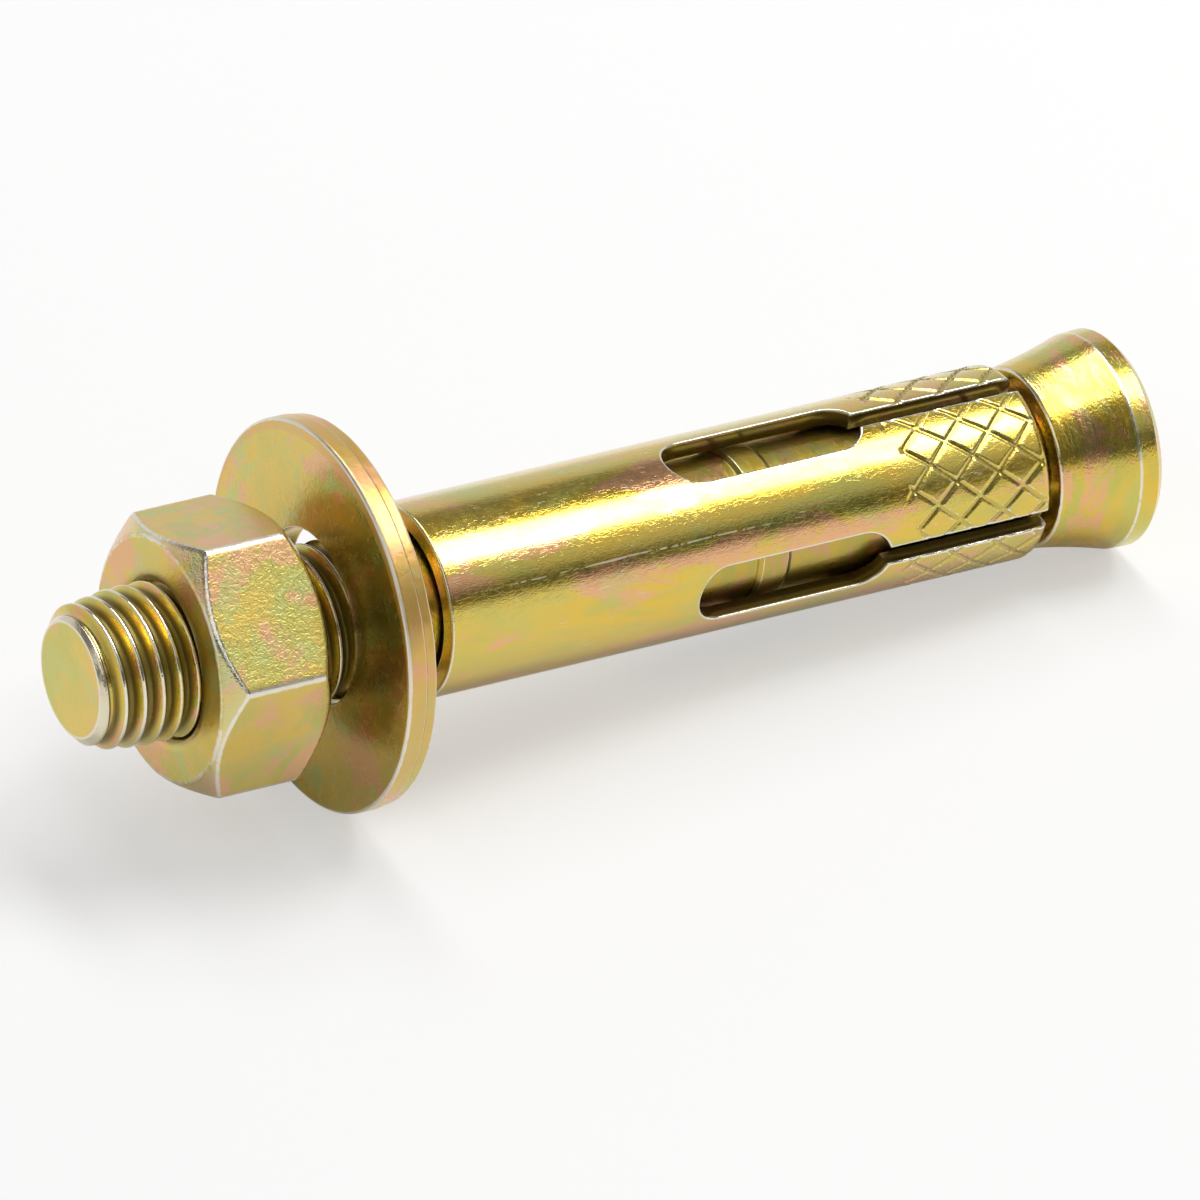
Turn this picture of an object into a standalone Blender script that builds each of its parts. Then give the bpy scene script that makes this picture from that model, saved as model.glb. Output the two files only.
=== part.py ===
# Sleeve anchor: a threaded stud with a flared end, a slit expansion sleeve, a flat washer and a
# hexagon nut. Every piece is built along its own X axis, from the tip of the thread towards the
# flared end, and hangs on one empty that lays the anchor down on its washer and its flare.

import bmesh
import bpy
from math import atan2, cos, pi, radians, sin, sqrt
from mathutils import Matrix, Vector

# Thread, in metres
thread_diameter = 0.0080
thread_pitch = 0.0010
thread_root_flat = thread_pitch / 4
thread_crest_flat = thread_pitch / 8
tip_diameter = 0.0060
tip_chamfer_length = 0.0006
thread_lead_length = 0.0030
thread_lead_drop = 0.0004
thread_run_out = 0.0008
thread_past_washer = 0.0018

# Stud behind the thread
shank_diameter = 0.00735
collar_width = 0.0014
collar_into_window = 0.0042
lead_in_length = 0.0019
lead_in_from_sleeve_end = 0.0023
neck_diameter = 0.0068
shoulder_inset = 0.00035
shoulder_rounding = 0.0002
flare_length = 0.0042
flare_growth = 0.0009
flare_hollow = 0.00008
land_length = 0.0010
land_growth = 0.00005
end_chamfer = 0.00035

# Nut
nut_across_flats = 0.0130
nut_height = 0.0063
nut_chamfer_inset = 0.0005
nut_chamfer_slope = 0.76
nut_countersink = 0.00022
nut_turn = radians(46)
thread_beyond_nut = 0.0050

# Washer: its rim is sheared for a part of the thickness and torn, a little smaller, behind that
washer_diameter = 0.0201
washer_thickness = 0.0016
washer_sheared_land = 0.00096
washer_edge_break = 0.00015
washer_shear_taper = 0.00008

# Sleeve
sleeve_wall = 0.0009
sleeve_length = 0.0347
sleeve_front_break = 0.00012
sleeve_rear_rounding = 0.00045
window_from_front = 0.01435
window_length = 0.01105
window_width = 0.0032
slit_width = 0.0010
seam_width = 0.0003
window_count = 4
window_turn = radians(7)

# Clearances and the play that is left along the stud
nut_clearance = 0.00015
washer_play = 0.0010
washer_rest_clearance = 0.0001
sleeve_clearance = 0.00010
lead_in_clearance = 0.00015
nut_to_washer = 0.0022
washer_to_sleeve = 0.00375
sleeve_to_shoulder = 0.0007

# Faceting; the stud and the washer lie on a facet, not on a corner
stud_segments = 32
washer_segments = 32
tube_segments = 64
nut_segments = 48
arc_steps = 4
sharp_edge = radians(28)

# Radii that follow from the sizes above
thread_radius = thread_diameter / 2
thread_flank = (thread_pitch - thread_root_flat - thread_crest_flat) / 2
thread_depth = thread_flank * sqrt(3)
root_radius = thread_radius - thread_depth
shank_radius = shank_diameter / 2
bore_radius = thread_radius + sleeve_clearance
sleeve_radius = bore_radius + sleeve_wall
guide_radius = bore_radius - lead_in_clearance
shoulder_radius = sleeve_radius - shoulder_inset
flare_radius = shoulder_radius + flare_growth
land_radius = flare_radius + land_growth
washer_radius = washer_diameter / 2
washer_hole_radius = thread_radius + washer_play / 2
washer_lift = washer_hole_radius - thread_radius - washer_rest_clearance

# Places along the stud, from the tip of the thread
nut_front = thread_beyond_nut
washer_front = nut_front + nut_height + nut_to_washer
washer_rear = washer_front + washer_thickness
thread_end = washer_rear + thread_past_washer
sleeve_front = washer_rear + washer_to_sleeve
sleeve_rear = sleeve_front + sleeve_length
window_start = sleeve_front + window_from_front
collar_start = window_start + collar_into_window
lead_in_start = sleeve_rear - lead_in_from_sleeve_end
lead_in_end = lead_in_start + lead_in_length
shoulder_front = sleeve_rear + sleeve_to_shoulder
flare_end = shoulder_front + flare_length
land_end = flare_end + land_length
stud_end = land_end + end_chamfer


# Shared shapes
def circle_point(x, radius, angle):
    return Vector((x, radius * cos(angle), radius * sin(angle)))


def arc(centre_x, centre_radius, size, start_deg, end_deg):
    """Points (x, radius) on a quarter or other arc of a turned profile."""
    points = []
    for step in range(arc_steps + 1):
        angle = radians(start_deg + (end_deg - start_deg) * step / arc_steps)
        points.append((centre_x + size * cos(angle), centre_radius + size * sin(angle)))
    return points


def outward_mesh(bm, name):
    bmesh.ops.recalc_face_normals(bm, faces=bm.faces)
    mesh = bpy.data.meshes.new(name)
    bm.to_mesh(mesh)
    bm.free()
    mesh.shade_smooth()
    mesh.set_sharp_from_angle(angle=sharp_edge)
    return mesh


def turned_ring(name, profile, segments, first_angle=0.0):
    """A closed ring turned round X from a closed outline of (x, radius) points."""
    bm = bmesh.new()
    rings = []
    for x, radius in profile:
        ring = []
        for i in range(segments):
            angle = first_angle + 2 * pi * i / segments
            ring.append(bm.verts.new(circle_point(x, radius, angle)))
        rings.append(ring)
    for first, second in zip(rings, rings[1:] + rings[:1]):
        for i in range(segments):
            j = (i + 1) % segments
            bm.faces.new((first[i], first[j], second[j], second[i]))
    return outward_mesh(bm, name)


def prism(name, outline, low, high):
    """An outline of (x, y) points, extruded along Z from low to high."""
    bm = bmesh.new()
    face = bm.faces.new([bm.verts.new((x, y, low)) for x, y in outline])
    grown = bmesh.ops.extrude_face_region(bm, geom=[face])
    top = [item for item in grown["geom"] if isinstance(item, bmesh.types.BMVert)]
    bmesh.ops.translate(bm, verts=top, vec=(0, 0, high - low))
    return outward_mesh(bm, name)


def add_object(name, mesh, parent, x=0.0):
    piece = bpy.data.objects.new(name, mesh)
    bpy.context.scene.collection.objects.link(piece)
    piece.parent = parent
    piece.location.x = x
    return piece


def add_boolean(piece, cutter, operation):
    cutter.hide_render = True
    cutter.display_type = "WIRE"
    modifier = piece.modifiers.new(cutter.name, "BOOLEAN")
    modifier.operation = operation
    modifier.solver = "EXACT"
    modifier.object = cutter


def plated_steel(name, colour, roughness):
    material = bpy.data.materials.new(name)
    material.use_nodes = True
    shader = material.node_tree.nodes["Principled BSDF"]
    shader.inputs["Base Color"].default_value = (*colour, 1)
    shader.inputs["Metallic"].default_value = 1
    shader.inputs["Roughness"].default_value = roughness
    return material


# Stud: one turned and rolled piece
def tip_limit(x):
    """The largest radius that the chamfer and the tapered first turns leave at x."""
    lead_radius = thread_radius - thread_lead_drop
    chamfer_slope = (lead_radius - tip_diameter / 2) / tip_chamfer_length
    on_chamfer = tip_diameter / 2 + x * chamfer_slope
    on_lead = lead_radius + (x - tip_chamfer_length) * thread_lead_drop / thread_lead_length
    return min(on_chamfer, max(on_lead, lead_radius), thread_radius)


def thread_rows():
    """Corners of the thread's section, turn after turn, as (x at angle 0, radius)."""
    crest = thread_root_flat + thread_flank
    section = [(0, root_radius), (thread_root_flat, root_radius)]
    section += [(crest, thread_radius), (crest + thread_crest_flat, thread_radius)]
    turns = int(thread_end / thread_pitch) + 2
    rows = []
    for turn in range(-2, turns):
        for x, radius in section:
            rows.append((turn * thread_pitch + x, radius))
    return rows


def thread_point(row, angle):
    """One corner of the right-hand thread, cut off at the tip and run out into the shank."""
    x = min(max(row[0] + thread_pitch * angle / (2 * pi), 0), thread_end)
    radius = min(row[1], tip_limit(x))
    held = min((thread_end - x) / thread_run_out, 1)
    return circle_point(x, shank_radius + (radius - shank_radius) * held, angle)


def stud_profile():
    """The turned outline behind the thread, as (x, radius) points."""
    collar_end = collar_start + collar_width
    edge = shoulder_rounding
    outline = [(collar_start - edge, shank_radius), (collar_start, guide_radius)]
    outline += [(collar_end, guide_radius), (collar_end + edge, shank_radius)]
    outline += [(lead_in_start, shank_radius), (lead_in_start + edge, guide_radius)]
    outline += [(lead_in_end, guide_radius), (lead_in_end + edge, neck_diameter / 2)]
    outline += [(shoulder_front, neck_diameter / 2)]
    outline += arc(shoulder_front + edge, shoulder_radius - edge, edge, 180, 90)
    for step in range(1, 2 * arc_steps + 1):
        share = step / (2 * arc_steps)
        hollow = 4 * flare_hollow * share * (1 - share)
        x = shoulder_front + edge + (flare_length - edge) * share
        outline.append((x, shoulder_radius + flare_growth * share - hollow))
    outline += [(land_end, land_radius), (stud_end, land_radius - end_chamfer)]
    return outline


def make_stud(parent):
    bm = bmesh.new()
    rows = thread_rows()
    outline = stud_profile()
    columns = []
    for i in range(stud_segments + 1):
        angle = 2 * pi * (i + 0.5) / stud_segments
        places = [thread_point(row, angle) for row in rows]
        places += [circle_point(x, radius, angle) for x, radius in outline]
        columns.append([bm.verts.new(place) for place in places])
    for left, right in zip(columns, columns[1:]):
        for j in range(len(left) - 1):
            bm.faces.new((left[j], left[j + 1], right[j + 1], right[j]))
    bmesh.ops.remove_doubles(bm, verts=bm.verts, dist=0.000001)
    rims = [edge for edge in bm.edges if len(edge.link_faces) == 1]
    bmesh.ops.contextual_create(bm, geom=[e for e in rims if e.verts[0].co.x < thread_pitch / 2])
    bmesh.ops.contextual_create(bm, geom=[e for e in rims if e.verts[0].co.x > thread_pitch / 2])
    stud = add_object("stud_bolt", outward_mesh(bm, "stud_bolt"), parent)
    stud.data.materials.append(plated_steel("stud zinc", (0.60, 0.50, 0.22), 0.32))
    return stud


# Hexagon nut: a turned blank with both faces chamfered, cut to six flats
def nut_profile():
    face_radius = nut_across_flats / 2 - nut_chamfer_inset / 2
    blank_radius = nut_across_flats
    chamfer_depth = (blank_radius - face_radius) * nut_chamfer_slope
    bore = thread_radius + nut_clearance
    mouth = bore + nut_countersink
    half = nut_height / 2
    if chamfer_depth > half:
        blank_radius = face_radius + half / nut_chamfer_slope
        chamfer_depth = half
    outline = [(0, mouth), (0, face_radius), (chamfer_depth, blank_radius)]
    if chamfer_depth < half:
        outline.append((nut_height - chamfer_depth, blank_radius))
    outline += [(nut_height, face_radius), (nut_height, mouth)]
    outline += [(nut_height - nut_countersink, bore), (nut_countersink, bore)]
    return outline


def make_nut(parent):
    nut = add_object("hex_nut", turned_ring("hex_nut", nut_profile(), nut_segments), parent, nut_front)
    corner_radius = nut_across_flats / sqrt(3)
    outline = []
    for corner in range(6):
        angle = nut_turn + corner * pi / 3
        outline.append((corner_radius * cos(angle), corner_radius * sin(angle)))
    flats = prism("nut_flats", outline, -nut_height, 2 * nut_height)
    flats.transform(Matrix(((0, 0, 1, 0), (1, 0, 0, 0), (0, 1, 0, 0), (0, 0, 0, 1))))
    add_boolean(nut, add_object("nut_flats", flats, parent, nut_front), "INTERSECT")
    nut.data.materials.append(plated_steel("nut zinc", (0.64, 0.53, 0.26), 0.34))
    return nut


# Flat washer: punched from strip, its edges broken on both faces
def make_washer(parent):
    rim = washer_radius
    cut = washer_edge_break
    hole = washer_hole_radius
    outline = [(0, hole + cut), (0, rim - cut), (cut, rim), (washer_sheared_land, rim)]
    outline += [(washer_thickness - cut, rim - washer_shear_taper)]
    outline += [(washer_thickness, rim - washer_shear_taper - cut), (washer_thickness, hole + cut)]
    outline += [(washer_thickness - cut, hole), (cut, hole)]
    mesh = turned_ring("flat_washer", outline, washer_segments, pi / washer_segments)
    washer = add_object("flat_washer", mesh, parent, washer_front)
    washer.location.z = washer_lift
    washer.data.materials.append(plated_steel("washer zinc", (0.62, 0.50, 0.24), 0.36))
    return washer


# Expansion sleeve: rolled sheet with long windows, each run out through the rear end as a slit
def window_outline():
    """A slot with round ends that narrows to the slit, as (x, y) points from the sleeve's front."""
    half = window_width / 2
    slit = slit_width / 2
    front = window_from_front + half
    rear = window_from_front + window_length - half
    steps = 4 * arc_steps
    points = []
    for step in range(steps + 1):
        angle = pi / 2 + pi * step / steps
        points.append((front + half * cos(angle), half * sin(angle)))
    reach = atan2(slit, sqrt(half * half - slit * slit))
    past_end = sleeve_length + window_width
    for step in range(arc_steps + 1):
        angle = -pi / 2 + (pi / 2 - reach) * step / arc_steps
        points.append((rear + half * cos(angle), half * sin(angle)))
    points += [(past_end, -slit), (past_end, slit)]
    for step in range(arc_steps + 1):
        angle = reach + (pi / 2 - reach) * step / arc_steps
        points.append((rear + half * cos(angle), half * sin(angle)))
    return points


def sleeve_profile():
    front = sleeve_front_break
    rear = sleeve_rear_rounding
    outline = [(0, bore_radius + front), (0, sleeve_radius - front), (front, sleeve_radius)]
    outline += arc(sleeve_length - rear, sleeve_radius - rear, rear, 90, 0)
    outline += [(sleeve_length, bore_radius + front), (sleeve_length - front, bore_radius)]
    outline.append((front, bore_radius))
    return outline


def make_sleeve(parent):
    mesh = turned_ring("expansion_sleeve", sleeve_profile(), tube_segments)
    sleeve = add_object("expansion_sleeve", mesh, parent, sleeve_front)
    inside = bore_radius / 2 + window_width / 4
    outside = sleeve_radius + sleeve_wall
    for number in range(window_count):
        angle = window_turn + 2 * pi * number / window_count
        cutter_mesh = prism(f"window_{number + 1}", window_outline(), inside, outside)
        cutter = add_object(f"window_{number + 1}", cutter_mesh, parent, sleeve_front)
        cutter.rotation_euler.x = angle
        add_boolean(sleeve, cutter, "DIFFERENCE")
    seam_end = window_from_front + window_width / 2
    half = seam_width / 2
    seam_outline = [(-seam_end, -half), (seam_end, -half), (seam_end, half), (-seam_end, half)]
    seam = add_object("seam", prism("seam", seam_outline, inside, outside), parent, sleeve_front)
    seam.rotation_euler.x = window_turn + pi
    add_boolean(sleeve, seam, "DIFFERENCE")
    sleeve.data.materials.append(plated_steel("sleeve zinc", (0.62, 0.54, 0.24), 0.30))
    return sleeve


# The anchor lies on the washer's rear rim and the flare's last edge
def lying_frame():
    rim_x = washer_rear - washer_edge_break
    rim_radius = washer_radius - washer_shear_taper - washer_lift
    tilt = atan2(rim_radius - land_radius, land_end - rim_x)
    height = land_end * sin(tilt) + land_radius * cos(tilt)
    tip_x = -tip_diameter / 2 * sin(tilt)
    end_x = land_end * cos(tilt) + land_radius * sin(tilt)
    corner_x = stud_end * cos(tilt) + (land_radius - end_chamfer) * sin(tilt)
    middle = (tip_x + max(end_x, corner_x)) / 2
    frame = bpy.data.objects.new("stud_axis", None)
    bpy.context.scene.collection.objects.link(frame)
    frame.location = (-middle, 0, height)
    frame.rotation_euler.y = tilt
    return frame


def main():
    for old in list(bpy.data.objects):
        bpy.data.objects.remove(old)
    stud_axis = lying_frame()
    make_stud(stud_axis)
    make_nut(stud_axis)
    make_washer(stud_axis)
    make_sleeve(stud_axis)


main()
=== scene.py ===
# %% [markdown]
# # A sleeve anchor in yellow zinc
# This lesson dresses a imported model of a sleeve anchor: a threaded stud with a flared end, a slit
# sleeve round it, a washer and a hexagon nut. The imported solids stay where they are. Each one is
# replaced by a finer mesh in the same place, and a node material gives it the plated steel.

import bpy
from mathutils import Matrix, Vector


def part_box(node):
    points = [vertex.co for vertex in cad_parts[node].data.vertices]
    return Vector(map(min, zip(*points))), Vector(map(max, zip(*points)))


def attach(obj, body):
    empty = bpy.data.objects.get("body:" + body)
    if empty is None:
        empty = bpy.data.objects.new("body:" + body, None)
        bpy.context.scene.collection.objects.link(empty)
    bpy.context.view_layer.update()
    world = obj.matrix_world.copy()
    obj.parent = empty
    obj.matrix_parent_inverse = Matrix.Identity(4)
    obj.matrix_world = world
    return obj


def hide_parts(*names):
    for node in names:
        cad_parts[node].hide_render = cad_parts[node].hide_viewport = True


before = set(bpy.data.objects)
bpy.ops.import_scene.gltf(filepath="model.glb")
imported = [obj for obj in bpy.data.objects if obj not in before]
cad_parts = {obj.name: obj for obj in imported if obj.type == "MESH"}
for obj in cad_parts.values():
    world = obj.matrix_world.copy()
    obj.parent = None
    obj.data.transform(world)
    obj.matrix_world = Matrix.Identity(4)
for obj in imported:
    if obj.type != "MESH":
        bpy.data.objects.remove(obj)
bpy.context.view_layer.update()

# %% Tools
from math import atan2, cos, pi, radians, sin, sqrt, tan

import bmesh
import bpy
import numpy as np
from mathutils import Euler, Matrix, Vector, noise

# %% [markdown]
# ## Working along the stud
# The anchor lies on its washer and its flare, so its axis leans a few degrees. A turned part is
# much easier to describe along its own axis. So every mesh here is made in millimetres, with x
# from the tip of the thread towards the flare, and is laid down in metres at the very end.

# %% Sizes along the stud, in millimetres
washer_front = 13.5
washer_thickness = 1.6
washer_lift = 0.433
sleeve_front = 18.85
sleeve_rear = 53.55
nut_front = 5.0
nut_height = 6.3
lying_tilt = radians(5.09806)
tip_place = Vector((-0.0298817, 0, 0.0108606))
lying_down = Matrix.Translation(tip_place) @ Matrix.Rotation(lying_tilt, 4, "Y") @ Matrix.Scale(0.001, 4)
for node in ("stud_bolt", "hex_nut", "flat_washer", "expansion_sleeve"):
    low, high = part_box(node)
    print(node, "reaches from", [round(v * 1000, 1) for v in low], "to", [round(v * 1000, 1) for v in high])

# %% [markdown]
# ## Outlines with rounded corners
# Steel has no perfectly sharp corner. Each turned outline is first drawn with plain corners, and
# this helper then rounds them. Two extra points just outside each arc keep the rounding tight, so
# that the shading of the flat parts beside it stays flat. A Bevel modifier could do this too, but
# an outline gives every corner its own radius.

# %% Rounded outlines
support = 0.06


def round_corners(corners, closed=False, steps=4):
    """Points of an outline given as (x, radius, rounding) corners."""
    points = []
    count = len(corners)
    for i, (x, r, rounding) in enumerate(corners):
        here = Vector((x, r))
        if rounding == 0 or (not closed and i in (0, count - 1)):
            points.append(here)
            continue
        before = Vector(corners[i - 1][:2]) - here
        after = Vector(corners[(i + 1) % count][:2]) - here
        half = before.angle(after) / 2
        reach = min(rounding / tan(half), 0.49 * before.length, 0.49 * after.length)
        size = reach * tan(half)
        middle = here + (before.normalized() + after.normalized()).normalized() * size / sin(half)
        first = here + before.normalized() * reach
        last = here + after.normalized() * reach
        start = atan2(first.y - middle.y, first.x - middle.x)
        sweep = (atan2(last.y - middle.y, last.x - middle.x) - start + pi) % (2 * pi) - pi
        if before.length > reach + 2 * support:
            points.append(first + before.normalized() * support)
        for step in range(steps + 1):
            angle = start + sweep * step / steps
            points.append(middle + size * Vector((cos(angle), sin(angle))))
        if after.length > reach + 2 * support:
            points.append(last + after.normalized() * support)
    return [(p.x, p.y) for p in points]


def split_long(points, longest, closed=False):
    """The same outline with extra points wherever two neighbours are further apart than longest."""
    ends = points[1:] + points[:1] if closed else points[1:]
    dense = []
    for a, b in zip(points, ends):
        pieces = max(1, int(np.ceil(np.hypot(b[0] - a[0], b[1] - a[1]) / longest)))
        for step in range(pieces):
            dense.append((a[0] + (b[0] - a[0]) * step / pieces, a[1] + (b[1] - a[1]) * step / pieces))
    if not closed:
        dense.append(points[-1])
    return dense


# %% [markdown]
# ## From rows of points to a closed mesh
# A turned or wound surface is a grid: rows along the outline, columns round the axis. Merging the
# doubles closes the seam, and recalculating the normals then turns every face outwards.

# %% Grid meshes
merge_distance = 0.0004
tiny = 1e-6


def new_object(name, data):
    """An object at the origin of the scene."""
    made = bpy.data.objects.new(name, data)
    bpy.context.scene.collection.objects.link(made)
    return made


def grid_mesh(name, places, close_rows, close_columns):
    """A quad mesh through an array of places[row][column]."""
    rows, columns = places.shape[:2]
    index = np.arange(rows * columns).reshape(rows, columns)
    if close_rows:
        index = np.vstack([index, index[:1]])
    if close_columns:
        index = np.hstack([index, index[:, :1]])
    quads = np.stack([index[:-1, :-1], index[:-1, 1:], index[1:, 1:], index[1:, :-1]], -1)
    mesh = bpy.data.meshes.new(name)
    mesh.from_pydata(places.reshape(-1, 3).tolist(), [], quads.reshape(-1, 4).tolist())
    return mesh


def clean_mesh(mesh, cap_ends=False):
    """Merges doubles, closes open rims if asked, and turns the faces outwards."""
    bm = bmesh.new()
    bm.from_mesh(mesh)
    bmesh.ops.remove_doubles(bm, verts=bm.verts, dist=merge_distance)
    bmesh.ops.dissolve_degenerate(bm, edges=bm.edges, dist=merge_distance)
    if cap_ends:
        bmesh.ops.holes_fill(bm, edges=[e for e in bm.edges if len(e.link_faces) == 1], sides=0)
    bmesh.ops.recalc_face_normals(bm, faces=bm.faces)
    open_edges = sum(len(e.link_faces) != 2 for e in bm.edges)
    bm.to_mesh(mesh)
    bm.free()
    mesh.shade_smooth()
    print(mesh.name, len(mesh.polygons), "faces,", open_edges, "open edges")
    return mesh


def turned_mesh(name, outline, columns):
    """A ring turned round the x axis from a closed outline of (x, radius) points."""
    angles = np.linspace(0, 2 * pi, columns, endpoint=False)
    x, r = np.array(outline).T[..., None]
    places = [np.repeat(x, columns, 1), r * np.cos(angles), r * np.sin(angles)]
    return grid_mesh(name, np.stack(places, -1), True, True)


# %% [markdown]
# ## Sums with sockets
# A node tree is a sum written in boxes and wires. This small class lets the sum be written as
# Python instead: each operator adds the Math node that it stands for. Any other node comes from
# one method, which sets the node up first and then fills or links its inputs.

# %% A socket that can be written into sums
class Wire:
    """One output socket of a shader or geometry tree."""

    def __init__(self, tree, socket=None):
        self.tree = tree
        self.socket = socket

    def node(self, kind, settings=None, values=None, out=0):
        made = self.tree.nodes.new(kind)
        for name, value in (settings or {}).items():
            if name == "stops":
                ramp = made.color_ramp
                while len(ramp.elements) < len(value):
                    ramp.elements.new(0.5)
                for element, (place, colour) in zip(ramp.elements, value):
                    element.position = place
                    element.color = (*colour, 1)
            else:
                setattr(made, name, value)
        for name, value in (values or {}).items():
            if isinstance(value, Wire):
                self.tree.links.new(value.socket, made.inputs[name])
            else:
                made.inputs[name].default_value = value
        return Wire(self.tree, made.outputs[out])

    def out(self, name):
        """Another output of the node that this socket belongs to."""
        return Wire(self.tree, self.socket.node.outputs[name])

    def maths(self, operation, *terms):
        return self.node("ShaderNodeMath", {"operation": operation}, dict(enumerate(terms)))

    def __add__(self, other):
        return self.maths("ADD", self, other)

    __radd__ = __add__

    def __sub__(self, other):
        return self.maths("SUBTRACT", self, other)

    def __rsub__(self, other):
        return self.maths("SUBTRACT", other, self)

    def __mul__(self, other):
        return self.maths("MULTIPLY", self, other)

    __rmul__ = __mul__

    def __truediv__(self, other):
        return self.maths("DIVIDE", self, other)

    def __rtruediv__(self, other):
        return self.maths("DIVIDE", other, self)

    def __pow__(self, other):
        return self.maths("POWER", self, other)

    def take(self, operation):
        """A function of this value alone, such as its sine."""
        return self.maths(operation, self)

    def lowest(self, other):
        return self.maths("MINIMUM", self, other)

    def highest(self, other):
        return self.maths("MAXIMUM", self, other)

    def size(self):
        return self.take("ABSOLUTE")

    def step(self, low, high):
        """0 below low, 1 above high and a soft rise between them."""
        values = {"Value": self, "From Min": low, "From Max": high}
        return self.node("ShaderNodeMapRange", {"interpolation_type": "SMOOTHSTEP"}, values)

    def point(self, x, y, z):
        """A place with these three coordinates."""
        return self.node("ShaderNodeCombineXYZ", values={"X": x, "Y": y, "Z": z})

    def noise(self, scale, detail=2.0, roughness=0.5, distortion=0.0, offset=0.0):
        """Soft noise at this place. The offset picks another part of the pattern."""
        apart = (offset, offset * 0.7, offset * 1.3)
        moved = self.node("ShaderNodeVectorMath", {"operation": "ADD"}, {0: self, 1: apart})
        values = {"Vector": moved, "Scale": scale, "Detail": detail, "Roughness": roughness}
        return self.node("ShaderNodeTexNoise", values={**values, "Distortion": distortion})


def mixed(share, first, second):
    """A colour between two colours, each written out or a wire."""
    colours = {i: c if isinstance(c, Wire) else (*c, 1) for i, c in ((6, first), (7, second))}
    return share.node("ShaderNodeMix", {"data_type": "RGBA"}, {0: share, **colours}, out=2)


# %% [markdown]
# ## Geometry Nodes from a script
# A tree gets named inputs for its sizes. The modifier is told each value by the socket's
# identifier, the result is read once as a plain mesh, and the object that held it goes again.

# %% Building and running a geometry tree
def geometry_tree(name, inputs):
    """A new tree, its inputs as wires by name, and the starting geometry."""
    tree = bpy.data.node_groups.new(name, "GeometryNodeTree")
    tree.interface.new_socket("Geometry", in_out="INPUT", socket_type="NodeSocketGeometry")
    for label, kind in inputs.items():
        tree.interface.new_socket(label, in_out="INPUT", socket_type=kind)
    tree.interface.new_socket("Geometry", in_out="OUTPUT", socket_type="NodeSocketGeometry")
    entry = tree.nodes.new("NodeGroupInput")
    wires = {label: Wire(tree, entry.outputs[label]) for label in ("Geometry", *inputs)}
    return tree, wires


def finish_tree(geometry, material):
    """Ends a tree in Realize Instances and Set Material."""
    whole = geometry.node("GeometryNodeRealizeInstances", values={"Geometry": geometry})
    painted = whole.node("GeometryNodeSetMaterial", values={"Geometry": whole, "Material": material})
    leave = painted.tree.nodes.new("NodeGroupOutput")
    painted.tree.links.new(painted.socket, leave.inputs[0])


def run_tree(tree, mesh, values):
    """The mesh that the tree makes of a start mesh."""
    holder = new_object(tree.name, mesh)
    modifier = holder.modifiers.new(tree.name, "NODES")
    modifier.node_group = tree
    for item in tree.interface.items_tree:
        if item.in_out == "INPUT" and item.name in values:
            modifier[item.identifier] = values[item.name]
    graph = bpy.context.evaluated_depsgraph_get()
    result = holder.evaluated_get(graph)
    made = bpy.data.meshes.new_from_object(result, preserve_all_data_layers=True, depsgraph=graph)
    made.name = mesh.name + "_made"
    bpy.data.objects.remove(holder)
    print(tree.name, "made", len(made.polygons), "faces")
    return made


# %% [markdown]
# ## Yellow zinc
# The steel is zinc plated and then dipped in yellow chromate. The film is so thin that its colour
# wanders between straw, olive, pink and green. It is a metal all the same: what the eye sees is
# mostly the studio in it. So Metallic stays 1, and soft noise wanders over a ramp from olive to
# amber. Pink and green come as patches of their own, each with its own noise, because one ramp
# would always put the same two colours side by side. A thin clear coat whitens the highlights.
# Fine noise breaks up the gloss and gives the skin its grain and its hair-thin wrinkles. Where an
# edge is worn, the film is gone and pale zinc shows; hollows are darkened to brown, a painted shade.
# The edges come from the mesh itself: each vertex stores how sharply the surface bends there.

# %% Film colours
straw = (0.71, 0.525, 0.09)
olive = (0.58, 0.515, 0.10)
rose = (0.80, 0.43, 0.21)
moss = (0.52, 0.56, 0.16)
amber = (0.76, 0.52, 0.062)
bare_zinc = (0.83, 0.80, 0.70)
# painted shade: the brown mixed into hollows, thread valleys, the shank inside the sleeve and the washer
painted_shade_brown = (0.22, 0.165, 0.03)
# painted shade for the walls of the windows
shaded_brown = (0.11, 0.08, 0.02)
film_stops = [(0.34, olive), (0.47, straw), (0.56, amber), (0.66, olive)]
print(len(film_stops), "stops on the film's ramp")


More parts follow.
